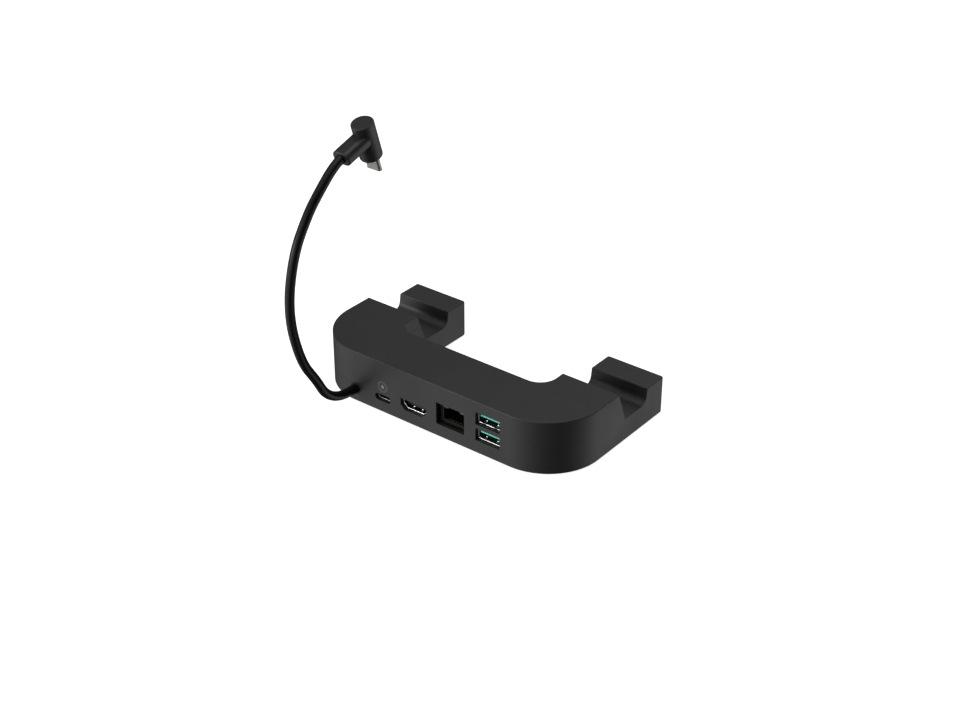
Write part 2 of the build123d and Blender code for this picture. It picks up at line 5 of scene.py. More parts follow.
import bmesh
import bpy
import numpy as np
from bpy.props import FloatProperty, FloatVectorProperty, PointerProperty
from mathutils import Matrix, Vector


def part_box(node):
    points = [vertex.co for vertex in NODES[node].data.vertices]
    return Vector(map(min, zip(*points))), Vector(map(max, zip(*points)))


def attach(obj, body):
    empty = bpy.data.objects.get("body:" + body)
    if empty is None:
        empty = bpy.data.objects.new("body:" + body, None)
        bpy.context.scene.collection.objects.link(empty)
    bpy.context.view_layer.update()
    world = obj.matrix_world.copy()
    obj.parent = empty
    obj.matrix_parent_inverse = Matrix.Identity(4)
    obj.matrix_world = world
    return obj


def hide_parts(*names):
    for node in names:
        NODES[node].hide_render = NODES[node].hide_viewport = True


bl_info = {
    "name": "Console dock",
    "version": (1, 0, 0),
    "blender": (4, 5, 0),
    "location": "View3D > Sidebar > Dock",
    "description": "Dresses a console dock with its lead, plug, sockets, screws and finishes",
    "category": "Object",
}

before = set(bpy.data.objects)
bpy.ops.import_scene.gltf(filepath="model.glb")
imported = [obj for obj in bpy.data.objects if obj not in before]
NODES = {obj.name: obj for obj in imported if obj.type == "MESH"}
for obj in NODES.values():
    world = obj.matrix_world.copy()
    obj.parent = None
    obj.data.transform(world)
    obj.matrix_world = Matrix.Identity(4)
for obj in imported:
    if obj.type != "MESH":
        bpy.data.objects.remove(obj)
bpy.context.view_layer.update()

# The lead's route, as metres out from the front of the strain relief and metres up
LEAD_STEPS = [
    (0.0000, 0.00000),
    (0.0074, 0.00000),
    (0.0152, 0.00270),
    (0.0215, 0.00820),
    (0.0258, 0.01670),
    (0.0356, 0.03140),
    (0.0419, 0.05950),
    (0.0362, 0.08620),
    (0.0258, 0.10190),
    (0.0189, 0.10900),
    (0.0074, 0.11917),
    (0.0027, 0.12060),
]
# From the lead's end along the plug's arm, and from there down to the mouth of its nose
PLUG_ARM = 0.0177
NOSE_DROP = 0.0181
NOSE_BREADTH = 0.00825
NOSE_HEIGHT = 0.0024
# Wall of every socket's shell, the video socket's height and slanted corners, and the tongues' heights
SHELL_WALL = 0.0003
VIDEO_HEIGHT = 0.0051
VIDEO_SLANT = 0.0023
POWER_TONGUE = 0.0007
VIDEO_TONGUE = 0.0015
# How far a spring's contact point lies behind its shell's mouth, and a contact pad behind its tongue's tip
SPRING_SETBACK = 0.0017
PAD_SETBACK = 0.0004
# Where the upper data socket's lip is thinner, in front of its springs: half the breadth, and by how much
LIP_NOTCH = 0.0008
LIP_THINNER = 0.8
# Base screws: radius and thickness of the head, radius of the shank, and how far the front pair stands in
SCREW_HEAD = (0.0022, 0.0013)
SCREW_CORE = 0.0011
FRONT_PAIR_INSET = 0.0003


def colour_property(name, description, default):
    """A colour that a user can change."""
    return FloatVectorProperty(
        name=name, description=description, default=default, subtype="COLOR", min=0.0, max=1.0
    )


def share_property(name, description, default):
    """A share from nothing to all."""
    return FloatProperty(
        name=name, description=description, default=default, min=0.0, max=1.0, subtype="FACTOR"
    )


def light_property(name, description, default):
    """The brightness of a panel or of a part of the table."""
    return FloatProperty(name=name, description=description, default=default, min=0.0)


def length_property(name, description, default):
    """A length in metres."""
    return FloatProperty(
        name=name, description=description, default=default, min=0.0, unit="LENGTH", precision=5
    )


class DockStage(bpy.types.PropertyGroup):
    """Camera, lights and floor."""

    azimuth: FloatProperty(
        name="Azimuth",
        description="Camera's turn from the sockets' side",
        default=math.radians(38.033),
        subtype="ANGLE",
    )
    elevation: FloatProperty(
        name="Elevation",
        description="Camera's height above the floor",
        default=math.radians(30.672),
        subtype="ANGLE",
    )
    distance: length_property("Distance", "From the camera to its target", 0.82686)
    lens: FloatProperty(
        name="Lens", description="Focal length on a 36 mm sensor", default=64.845, unit="CAMERA"
    )
    target: FloatVectorProperty(
        name="Target",
        description="Point that the camera looks at",
        default=(-0.00152, -0.00096, 0.0205),
        unit="LENGTH",
    )
    table_left: light_property("Table, left", "White table beyond the left corner", 0.69)
    table_rear: light_property("Table, rear", "White table in front of the sockets", 0.67)
    table_right: light_property("Table, right", "White table beside the right arm", 0.67)
    table_front: light_property("Table, front", "White table in front of the prongs", 0.62)
    rear_panel: light_property("Rear panel", "Low panel that faces the sockets", 1.1)
    rear_lamp: light_property("Rear lamp", "Small bright panel left of the sockets", 7.0)
    left_panel: light_property("Left panel", "High panel beyond the left corner", 0.62)
    front_panel: light_property("Front panel", "High panel behind the prongs", 1.1)
    top_power: FloatProperty(name="Top light", description="Broad light overhead", default=2.4, unit="POWER")
    floor_colour: colour_property("Floor", "Pale floor", (0.80, 0.80, 0.80))
    floor_glow: share_property("Floor glow", "Light that the pale floor gives by itself", 0.88)


class DockPlastics(bpy.types.PropertyGroup):
    """Moulded plastics and rubbers."""

    shell: colour_property("Shell", "Upper shell", (0.0180, 0.0180, 0.0183))
    base: colour_property("Base", "Base plate", (0.0170, 0.0170, 0.0175))
    plug: colour_property("Plug", "Plug body", (0.0170, 0.0170, 0.0174))
    jacket: colour_property("Jacket", "Jacket of the lead", (0.0040, 0.0040, 0.0042))
    rubber: colour_property("Rubber", "Feet and strain relief", (0.0080, 0.0080, 0.0082))
    insert: colour_property("Inserts", "Socket housings and cores", (0.0060, 0.0060, 0.0060))
    inlet: colour_property("Inlet", "Core and tongue of the power inlet", (0.62, 0.62, 0.60))
    tongue: colour_property("Tongue", "Tongues of the data sockets", (0.17, 0.82, 0.65))
    roughness: share_property("Roughness", "Roughness of the shell", 0.52)
    grain: length_property("Grain", "Size of the shell's moulded grain", 0.00045)


class DockMetals(bpy.types.PropertyGroup):
    """Metals of the sockets, plug and screws."""

    # Socket steel is darkened well below the lips' steel: it paints the shade inside the sockets
    socket: colour_property("Socket steel", "Shells of the sockets", (0.34, 0.34, 0.33))
    shield: colour_property("Shield", "Shield of the network socket", (0.45, 0.44, 0.41))
    # The lips' and springs' steel is a brightened copy of the shells' steel: it paints their highlights
    lip: colour_property("Lips", "Rounded lips and springs of the sockets", (0.92, 0.91, 0.89))
    nose: colour_property("Nose", "Plug's metal nose", (0.42, 0.42, 0.40))
    screw: colour_property("Screws", "Screws", (0.08, 0.08, 0.085))
    # The contacts' gold is dulled and darkened: it paints the shade deep in the sockets
    contact: colour_property("Contacts", "Contact wires", (0.30, 0.24, 0.13))


class DockDetails(bpy.types.PropertyGroup):
    """Small metal and rubber details."""

    lip_breadth: length_property("Lip", "Breadth of the rounded lip on a shell's mouth", 0.0006)
    lip_proud: length_property("Lip, proud", "How far the lip stands in front of its shell", 0.0003)
    spring_breadth: length_property("Spring", "Breadth of a spring's contact point", 0.0013)
    spring_reach: length_property("Spring, reach", "Length of a spring's contact point", 0.0015)
    spring_rise: length_property("Spring, rise", "Height of a contact point over the shell's floor", 0.00078)
    groove: length_property("Foot groove", "Depth of the rings under a foot", 0.0002)


class DockSettings(bpy.types.PropertyGroup):
    """Everything that a user would change on the dock."""

    stage: PointerProperty(type=DockStage)
    details: PointerProperty(type=DockDetails)
    plastics: PointerProperty(type=DockPlastics)
    metals: PointerProperty(type=DockMetals)


# Shader nodes


def node(tree, kind, inputs=None, **settings):
    """Adds a node, then sets its properties and inputs, by name or number. A socket as value is linked."""
    made = tree.nodes.new(kind)
    for name, value in settings.items():
        setattr(made, name, value)
    for key, value in (inputs or {}).items():
        if isinstance(value, bpy.types.NodeSocket):
            tree.links.new(value, made.inputs[key])
        else:
            made.inputs[key].default_value = value
    return made


def calculate(tree, first, second, operation="ADD"):
    """Output of a Math node on two sockets or numbers."""
    return node(tree, "ShaderNodeMath", {0: first, 1: second}, operation=operation).outputs[0]


def blend_of(tree, factor, first, second):
    """Colour between two colours."""
    mix = node(tree, "ShaderNodeMix", {0: factor, 6: first, 7: second}, data_type="RGBA")
    return mix.outputs[2]


def spread(tree, value, low, high, to_low=0.0, to_high=1.0):
    """A value moved from one range to another, and kept inside it."""
    return node(
        tree,
        "ShaderNodeMapRange",
        {"Value": value, "From Min": low, "From Max": high, "To Min": to_low, "To Max": to_high},
    ).outputs["Result"]


def new_group(name, numbers, outputs):
    """An empty shader group that takes a vector and named numbers: its tree, what goes in, what comes out."""
    tree = bpy.data.node_groups.new(name, "ShaderNodeTree")
    tree.interface.new_socket("Vector", in_out="INPUT", socket_type="NodeSocketVector")
    for label, default in numbers.items():
        entry = tree.interface.new_socket(label, in_out="INPUT", socket_type="NodeSocketFloat")
        entry.default_value = default
    for label in outputs:
        tree.interface.new_socket(label, in_out="OUTPUT", socket_type="NodeSocketFloat")
    return tree, node(tree, "NodeGroupInput").outputs, node(tree, "NodeGroupOutput").inputs


def moulded_grain():
    """Spark-eroded grain of a mould: fine noise with soft pebbles in it, and a slow change of tone."""
    tree, given, out = new_group("Moulded grain", {"Size": 0.0004, "Depth": 1.0}, ["Height", "Tone"])
    scale = calculate(tree, 1.0, given["Size"], "DIVIDE")
    fine = node(tree, "ShaderNodeTexNoise", {"Vector": given["Vector"], "Scale": scale, "Detail": 2.0})
    pebble = node(
        tree,
        "ShaderNodeTexVoronoi",
        {"Vector": given["Vector"], "Scale": calculate(tree, scale, 0.55, "MULTIPLY"), "Smoothness": 0.6},
        feature="SMOOTH_F1",
    )
    dip = calculate(tree, pebble.outputs["Distance"], 0.5, "MULTIPLY")
    height = calculate(tree, fine.outputs["Fac"], dip, "SUBTRACT")
    tree.links.new(calculate(tree, height, given["Depth"], "MULTIPLY"), out["Height"])
    slow = node(
        tree,
        "ShaderNodeTexNoise",
        {"Vector": given["Vector"], "Scale": calculate(tree, scale, 0.02, "MULTIPLY"), "Detail": 4.0},
    )
    tree.links.new(spread(tree, slow.outputs["Fac"], 0.3, 0.7), out["Tone"])
    return tree


def handling():
    """Where hands have polished or smeared a surface: broad soft patches with fine streaks in them."""
    tree, given, out = new_group("Handling", {"Spread": 0.03, "Amount": 1.0}, ["Polish"])
    scale = calculate(tree, 1.0, given["Spread"], "DIVIDE")
    patch = node(
        tree,
        "ShaderNodeTexNoise",
        {"Vector": given["Vector"], "Scale": scale, "Detail": 3.0, "Distortion": 0.4},
    )
    stretch = node(tree, "ShaderNodeMapping", {"Vector": given["Vector"], "Scale": (14.0, 3.0, 9.0)})
    streak = node(
        tree,
        "ShaderNodeTexNoise",
        {"Vector": stretch.outputs[0], "Scale": scale, "Detail": 5.0, "Roughness": 0.7},
    )
    soft = spread(tree, patch.outputs["Fac"], 0.38, 0.66)
    fine = spread(tree, streak.outputs["Fac"], 0.35, 0.75)
    both = calculate(tree, soft, calculate(tree, fine, 0.35, "MULTIPLY"))
    tree.links.new(calculate(tree, both, given["Amount"], "MULTIPLY"), out["Polish"])
    return tree


def settled_dust():
    """Fine dust on faces that look up: the upward part of the normal, broken up by specks."""
    tree, given, out = new_group("Settled dust", {"Speck": 0.0005, "Amount": 0.1}, ["Mask"])
    facing = node(tree, "ShaderNodeSeparateXYZ", {0: node(tree, "ShaderNodeNewGeometry").outputs["Normal"]})
    up = spread(tree, facing.outputs["Z"], 0.5, 1.0)
    scale = calculate(tree, 1.0, given["Speck"], "DIVIDE")
    specks = node(tree, "ShaderNodeTexNoise", {"Vector": given["Vector"], "Scale": scale, "Detail": 4.0})
    lying = spread(tree, specks.outputs["Fac"], 0.52, 0.72)
    dusty = calculate(tree, up, lying, "MULTIPLY")
    tree.links.new(calculate(tree, dusty, given["Amount"], "MULTIPLY"), out["Mask"])
    return tree


def drawn_sheet():
    """Rolled and stamped sheet metal: long fine lines along one axis, and a slow change of tone."""
    tree, given, out = new_group("Drawn sheet", {"Line": 0.0001, "Depth": 1.0}, ["Height", "Tone"])
    scale = calculate(tree, 1.0, given["Line"], "DIVIDE")
    along = node(tree, "ShaderNodeMapping", {"Vector": given["Vector"], "Scale": (1.0, 0.04, 1.0)})
    lines = node(tree, "ShaderNodeTexNoise", {"Vector": along.outputs[0], "Scale": scale, "Detail": 3.0})
    tree.links.new(calculate(tree, lines.outputs["Fac"], given["Depth"], "MULTIPLY"), out["Height"])
    slow = node(
        tree,
        "ShaderNodeTexNoise",
        {"Vector": given["Vector"], "Scale": calculate(tree, scale, 0.05, "MULTIPLY"), "Detail": 3.0},
    )
    tree.links.new(spread(tree, slow.outputs["Fac"], 0.3, 0.7), out["Tone"])
    return tree


GROUPS = {}
GROUP_MAKERS = {
    "Moulded grain": moulded_grain,
    "Handling": handling,
    "Settled dust": settled_dust,
    "Drawn sheet": drawn_sheet,
}


def effect(tree, name, inputs):
    """Puts a shared effect in a material, made the first time that it is asked for."""
    if name not in GROUPS:
        GROUPS[name] = GROUP_MAKERS[name]()
    return node(tree, "ShaderNodeGroup", inputs, node_tree=GROUPS[name]).outputs


def blank(name):
    """A new material: itself, its tree, its shader and its Object coordinates."""
    material = bpy.data.materials.new(name)
    material.use_nodes = True
    tree = material.node_tree
    shader = next(n for n in tree.nodes if n.type == "BSDF_PRINCIPLED")
    at = node(tree, "ShaderNodeTexCoord").outputs["Object"]
    return material, tree, shader, at


def shade(colour, factor):
    """A colour made darker or lighter, with its alpha."""
    return (*(min(1.0, c * factor) for c in colour), 1.0)


def bump(tree, shader, height, distance):
    """Feeds a height into the shader's normal through a Bump node."""
    made = node(tree, "ShaderNodeBump", {"Height": height, "Distance": distance, "Strength": 1.0})
    tree.links.new(made.outputs["Normal"], shader.inputs["Normal"])


def moulded(name, colour, roughness=0.5, grain=0.0004, depth=0.00001, dust=0.0):
    """Moulded plastic: grain in the surface, tone and roughness that drift, and dust where it faces up."""
    material, tree, shader, at = blank(name)
    surface = effect(tree, "Moulded grain", {"Vector": at, "Size": grain, "Depth": 1.0})
    worn = effect(tree, "Handling", {"Vector": at, "Spread": 0.035, "Amount": 0.08})
    body = blend_of(tree, surface["Tone"], shade(colour, 0.88), shade(colour, 1.12))
    if dust > 0:
        lying = effect(tree, "Settled dust", {"Vector": at, "Speck": 0.0006, "Amount": dust})
        body = blend_of(tree, lying["Mask"], body, (0.30, 0.29, 0.27, 1.0))
    tree.links.new(body, shader.inputs["Base Color"])
    tree.links.new(calculate(tree, roughness, worn["Polish"], "SUBTRACT"), shader.inputs["Roughness"])
    shader.inputs["Specular IOR Level"].default_value = 0.5
    bump(tree, shader, surface["Height"], depth)
    return material


def rubber(name, colour, roughness=0.7, level=0.3):
    """Rubber: matt, faintly chalky, with a fine even grain."""
    material, tree, shader, at = blank(name)
    surface = effect(tree, "Moulded grain", {"Vector": at, "Size": 0.0002, "Depth": 0.6})
    worn = effect(tree, "Handling", {"Vector": at, "Spread": 0.012, "Amount": 0.1})
    body = blend_of(tree, surface["Tone"], shade(colour, 0.8), shade(colour, 1.25))
    tree.links.new(body, shader.inputs["Base Color"])
    tree.links.new(calculate(tree, roughness, worn["Polish"], "SUBTRACT"), shader.inputs["Roughness"])
    shader.inputs["Specular IOR Level"].default_value = level
    bump(tree, shader, surface["Height"], 0.000006)
    return material


def sheet_metal(name, colour, roughness=0.3):
    """Stamped or drawn metal: fine lines, a drift in tone, and duller patches."""
    material, tree, shader, at = blank(name)
    surface = effect(tree, "Drawn sheet", {"Vector": at, "Line": 0.00008, "Depth": 1.0})
    worn = effect(tree, "Handling", {"Vector": at, "Spread": 0.006, "Amount": 0.12})
    body = blend_of(tree, surface["Tone"], shade(colour, 0.82), shade(colour, 1.1))
    tree.links.new(body, shader.inputs["Base Color"])
    tree.links.new(calculate(tree, roughness, worn["Polish"]), shader.inputs["Roughness"])
    shader.inputs["Metallic"].default_value = 1.0
    bump(tree, shader, surface["Height"], 0.000002)
    return material


def resin(name, colour, clear):
    """Clear or tinted resin: light goes into it, and faint flow marks show in its tone."""
    material, tree, shader, at = blank(name)
    flow = effect(tree, "Handling", {"Vector": at, "Spread": 0.002, "Amount": 0.5})
    body = blend_of(tree, flow["Polish"], shade(colour, 0.85), shade(colour, 1.15))
    tree.links.new(body, shader.inputs["Base Color"])
    duller = calculate(tree, flow["Polish"], 0.1, "MULTIPLY")
    tree.links.new(calculate(tree, 0.15, duller), shader.inputs["Roughness"])
    shader.inputs["Transmission Weight"].default_value = clear
    shader.inputs["IOR"].default_value = 1.49
    return material


def laminate(name, colour):
    """Circuit board: solder mask over a woven core, with the weave and the copper just showing."""
    material, tree, shader, at = blank(name)
    weave = node(tree, "ShaderNodeTexBrick", {"Vector": at, "Scale": 900.0, "Mortar Size": 0.03})
    tracks = node(
        tree,
        "ShaderNodeTexWave",
        {"Vector": at, "Scale": 260.0, "Distortion": 6.0, "Detail": 2.0, "Detail Scale": 0.4},
    )
    copper = spread(tree, tracks.outputs["Fac"], 0.62, 0.68)
    body = blend_of(tree, copper, shade(colour, 0.8), shade(colour, 1.5))
    tree.links.new(body, shader.inputs["Base Color"])
    worn = effect(tree, "Handling", {"Vector": at, "Spread": 0.01, "Amount": 0.1})
    tree.links.new(calculate(tree, 0.38, worn["Polish"], "SUBTRACT"), shader.inputs["Roughness"])
    bump(tree, shader, calculate(tree, weave.outputs["Fac"], copper), 0.00001)
    return material


def dress(material, *names):
    """Gives CAD nodes their finish, in their own material slots."""
    for name in names:
        for slot in NODES[name].material_slots:
            slot.material = material


# Surfaces


def slot_corners(breadth, height, inset=SHELL_WALL / 2):
    """Corners of a rectangle moved in by half a wall, counterclockwise."""
    x, z = breadth / 2 - inset, height / 2 - inset
    return [(-x, -z), (x, -z), (x, z), (-x, z)]


def video_corners(breadth, height, slant, inset=SHELL_WALL / 2):
    """Corners of the video socket's outline moved in by half a wall: two slanted lower corners."""
    x, z = breadth / 2 - inset, height / 2 - inset
    cut = slant - inset * (2.0 - math.sqrt(2.0))
    return [(cut - x, -z), (x - cut, -z), (x, cut - z), (x, z), (-x, z), (-x, cut - z)]


def mouth_of(name, height=None):
    """Middle of a shell's mouth, its breadth and its height, which leaves out legs under the shell."""
    low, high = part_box(name)
    height = height or high.z - low.z
    return ((low.x + high.x) / 2, low.y, high.z - height / 2), high.x - low.x, height


def grid_faces(rows, columns, rows_close=False, columns_close=False):
    """Four-sided faces of a grid of points; a direction that closes joins its last line to its first."""
    row, column = np.meshgrid(
        np.arange(rows if rows_close else rows - 1),
        np.arange(columns if columns_close else columns - 1),
        indexing="ij",
    )
    below, beside = (row + 1) % rows, (column + 1) % columns
    here, there = row * columns, below * columns
    return np.stack([here + column, here + beside, there + beside, there + column], axis=-1).reshape(-1, 4)


def closed_sheet(top, under):
    """A thin solid between two grids of points, whose edges are drawn up to those of the upper grid."""
    rows, columns = top.shape[:2]
    under = under.copy()
    under[0], under[-1], under[:, 0], under[:, -1] = top[0], top[-1], top[:, 0], top[:, -1]
    points = np.concatenate([top.reshape(-1, 3), under.reshape(-1, 3)])
    faces = grid_faces(rows, columns)
    return points, np.concatenate([faces, faces[:, ::-1] + rows * columns])


def end_radius(height):
    """Corner radius for a slot with round ends, on a line half a wall inside it: a hair under the most."""
    return (height - SHELL_WALL) / 2 - 0.000001


def round_outline(corners, radius, spacing):
    """Closed outline of a polygon with rounded corners, and its outward direction at every point.

    Each corner's centre lies on its bisector, radius / cos(half the turn) inside the corner, and the
    direction turns evenly from one side's normal to the next one's. Long sides get more points.
    """
    corners = np.asarray(corners, float)
    before = corners - np.roll(corners, 1, axis=0)
    after = np.roll(before, -1, axis=0)
    turn = np.arctan2(before[:, 0] * after[:, 1] - before[:, 1] * after[:, 0], (before * after).sum(axis=1))
    first = np.arctan2(-before[:, 0], before[:, 1])
    middle = first + turn / 2
    bisector = np.stack([np.cos(middle), np.sin(middle)], axis=-1)
    centre = corners - bisector * (radius / np.cos(turn / 2))[:, None]
    angle = first[:, None] + turn[:, None] * np.linspace(0.0, 1.0, 9)
    away = np.stack([np.cos(angle), np.sin(angle)], axis=-1)
    line = (centre[:, None] + radius * away).reshape(-1, 2)
    away = away.reshape(-1, 2)
    line, away = np.vstack([line, line[:1]]), np.vstack([away, away[:1]])
    run = np.concatenate([[0.0], np.cumsum(np.linalg.norm(np.diff(line, axis=0), axis=1))])
    at = np.union1d(run, np.arange(0.0, run[-1], spacing))
    at = at[at < run[-1] - 1e-7]
    return tuple(np.stack([np.interp(at, run, each[:, i]) for i in (0, 1)], axis=-1) for each in (line, away))


def rolled_lip(line, away, size, half_wall, proud, place):
    """A rounded lip on the mouth of a shell: an ellipse, half_wall by proud, carried along the outline.

    Across the wall a point lies half_wall cos v out from the outline, and in front of it proud sin v,
    both times size, which may change along the outline. Place turns across, up and front into X, Y and Z.
    """
    turn = np.linspace(0.0, 2.0 * np.pi, 12, endpoint=False)
    size = np.broadcast_to(size, len(line))[:, None]
    flat = line[:, None] + (size * half_wall * np.cos(turn))[..., None] * away[:, None]
    front = size * proud * np.sin(turn)
    points = place(flat[..., 0], flat[..., 1], front)
    return points.reshape(-1, 3), grid_faces(len(line), len(turn), True, True)


def upright(x, y, z):
    """A place in the rear face: across is X, up is Z, and front is toward -Y."""
    return lambda across, up, front: np.stack([x + across, y - front, z + up], axis=-1)


def contact_point(x, y, z, reach, breadth, rise):
    """The raised contact point on a spring in a shell's floor, from its steep front back along its leaf.

    Its height is rise * 2.26 w^0.5 (1 - w)^0.7, where w runs from 0 at the front to 1 at the back, so the
    front is round and steep, and toward both sides it turns down as u^6.
    """
    u, step = np.meshgrid(np.linspace(-1.0, 1.0, 25), np.linspace(0.0, 1.0, 41), indexing="ij")
    w = step**2
    height = rise * 2.26 * np.sqrt(w) * (1.0 - w) ** 0.7 * (1.0 - np.abs(u) ** 6)
    top = np.stack([x + u * breadth / 2, y + w * reach, z + height], axis=-1)
    under = np.stack([top[..., 0], top[..., 1], np.full_like(u, z - 0.0001)], axis=-1)
    return closed_sheet(top, under)


def contact_row(count, pitch, breadth, length, rise, sink, place):
    """A row of flat contacts on a tongue: height is rise on each contact and -sink between, in the tongue.

    Across the row each contact has four points, up, along, along and down, and so has its length.
    """
    edge = rise + sink
    middle = (np.arange(count) - (count - 1) / 2) * pitch
    steps = np.array([-breadth / 2 - edge / 4, -breadth / 2, breadth / 2, breadth / 2 + edge / 4])
    across = (middle[:, None] + steps).ravel()
    deep = np.array([0.0, edge / 4, length - edge / 4, length])
    on = np.tile([0.0, 1.0, 1.0, 0.0], count)[:, None] * np.array([0.0, 1.0, 1.0, 0.0])
    a, d = np.meshgrid(across, deep, indexing="ij")
    return closed_sheet(place(a, d, on * edge - sink), place(a, d, np.full_like(a, -sink - rise)))


def turned(profile, steps, x, y, z):
    """A profile of radius and height turned round an upright axis at x, y: (r cos t, r sin t, height)."""
    turn = np.linspace(0.0, 2.0 * np.pi, steps, endpoint=False)
    radius, height = profile[:, :1], profile[:, 1:]
    across, along = x + radius * np.cos(turn), y + radius * np.sin(turn)
    points = np.stack([across, along, z + height + 0.0 * turn], axis=-1)
    return points.reshape(-1, 3), grid_faces(len(profile), steps, columns_close=True)


def ribbed_foot(x, y, radius, height, groove):
    """A rubber foot with a round rim, and with ring grooves under it.

    At the radius r the grooves are groove * (0.5 + 0.5 cos(2 pi r / pitch))^6 deep.
    """
    rim = 0.00035
    pitch = (radius - 1.6 * rim) / 4.5
    flat = np.linspace(0.0, radius - rim, 90)
    rings = groove * (0.5 + 0.5 * np.cos(2.0 * np.pi * flat / pitch)) ** 6
    bend = np.linspace(0.0, np.pi / 2, 8)[1:]
    edge = np.stack([radius - rim + rim * np.sin(bend), rim - rim * np.cos(bend)], axis=-1)
    rest = [(radius, height), (0.0, height)]
    return turned(np.vstack([np.stack([flat, rings], axis=-1), edge, rest]), 72, x, y, 0.0)


def cross_screw(x, y, z, head, core, length, turn_by):
    """A screw seen from below, on a grid of rings by turn: its head has a crossed recess.

    The face rises into the head by depth times a mask that is 1 inside two crossed arms and fades over
    0.08 mm, less toward the arms' ends, and its rim rises by 0.15 mm times (r / radius)^10. On the shank the
    radius is core * (0.86 + 0.14 cos(2 pi h / pitch - turn)).
    """
    radius, thick = head
    half_arm, arm_end, depth, pitch = 0.0003, 0.0014, 0.0009, 0.0008
    turn = np.linspace(0.0, 2.0 * np.pi, 64, endpoint=False)
    ring = np.linspace(0.0, 1.0, 26)[:, None] * radius
    across, along = ring * np.cos(turn - turn_by), ring * np.sin(turn - turn_by)
    small, large = np.minimum(abs(across), abs(along)), np.maximum(abs(across), abs(along))
    arms = np.clip((half_arm - small) / 0.00008 + 0.5, 0.0, 1.0)
    arms = arms * np.clip((arm_end - large) / 0.0002 + 0.5, 0.0, 1.0)
    face = depth * arms * (1.0 - 0.45 * large / arm_end) + 0.00015 * (ring / radius) ** 10
    side = np.linspace(0.0002, thick, 4)[:, None] + 0.0 * turn
    climb = np.linspace(thick, thick + length - pitch, 62)[:, None]
    thread = core * (0.86 + 0.14 * np.cos(2.0 * np.pi * climb / pitch - turn))
    tip = np.array([[thick + length]]) + 0.0 * turn
    radii = np.vstack([ring + 0.0 * turn, np.full_like(side, radius), thread, 0.0 * tip])
    heights = np.vstack([face, side, climb + 0.0 * turn, tip])
    points = np.stack([x + radii * np.cos(turn), y + radii * np.sin(turn), z + heights], axis=-1)
    return points.reshape(-1, 3), grid_faces(len(radii), len(turn), columns_close=True)


def finished(name, surfaces, material, stands_for=()):
    """One object from several surfaces: doubles merged, faces turned outwards, edges over 40 degrees sharp.

    It rides on the root, takes the named material slot, and may stand for CAD nodes.
    """
    starts = np.cumsum([0] + [len(points) for points, faces in surfaces])
    faces = np.concatenate([faces + start for (points, faces), start in zip(surfaces, starts)])
    mesh = bpy.data.meshes.new(name)
    mesh.from_pydata(np.concatenate([points for points, faces in surfaces]).tolist(), [], faces.tolist())
    shape = bmesh.new()
    shape.from_mesh(mesh)
    bmesh.ops.remove_doubles(shape, verts=shape.verts, dist=1e-7)
    bmesh.ops.recalc_face_normals(shape, faces=shape.faces)
    shape.to_mesh(mesh)
    shape.free()
    mesh.polygons.foreach_set("use_smooth", np.ones(len(mesh.polygons), bool))
    mesh.set_sharp_from_angle(angle=math.radians(40.0))
    mesh.materials.append(material)
    made = bpy.data.objects.new(name, mesh)
    bpy.context.scene.collection.objects.link(made)
    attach(made, "root")
    if stands_for:
        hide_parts(*stands_for)
    return made


def add_lip(name, outline, size, middle, details, material):
    """Puts a rounded lip on a shell's mouth, along an outline round its middle."""
    lip = rolled_lip(*outline, size, details.lip_breadth / 2, details.lip_proud, upright(*middle))
    finished(name, [lip], material)


def two_springs(middle, height, aside, details):
    """Both contact points in a shell's floor, which lie aside from its middle, left and right."""
    size = (details.spring_reach, details.spring_breadth, details.spring_rise)
    floor = middle[2] - height / 2 + SHELL_WALL
    front = middle[1] + SPRING_SETBACK
    return [contact_point(middle[0] + side * aside, front, floor, *size) for side in (-1, 1)]


def soft_panel(tree, way, turn, height, focus, strength):
    """Light of one soft panel: strength * exp(focus (cosine of the angle to its middle - 1)).

    Turn goes from the sockets' side toward the right, height up from the floor, both in degrees.
    """
    turn, height = math.radians(turn), math.radians(height)
    middle = (
        math.sin(turn) * math.cos(height),
        -math.cos(turn) * math.cos(height),
        math.sin(height),
    )
    cosine = node(tree, "ShaderNodeVectorMath", {0: way, 1: middle}, operation="DOT_PRODUCT").outputs["Value"]
    fall = calculate(tree, calculate(tree, cosine, 1.0, "SUBTRACT"), focus, "MULTIPLY")
    glow = node(tree, "ShaderNodeMath", {0: fall}, operation="EXPONENT").outputs[0]
    return calculate(tree, glow, strength, "MULTIPLY")


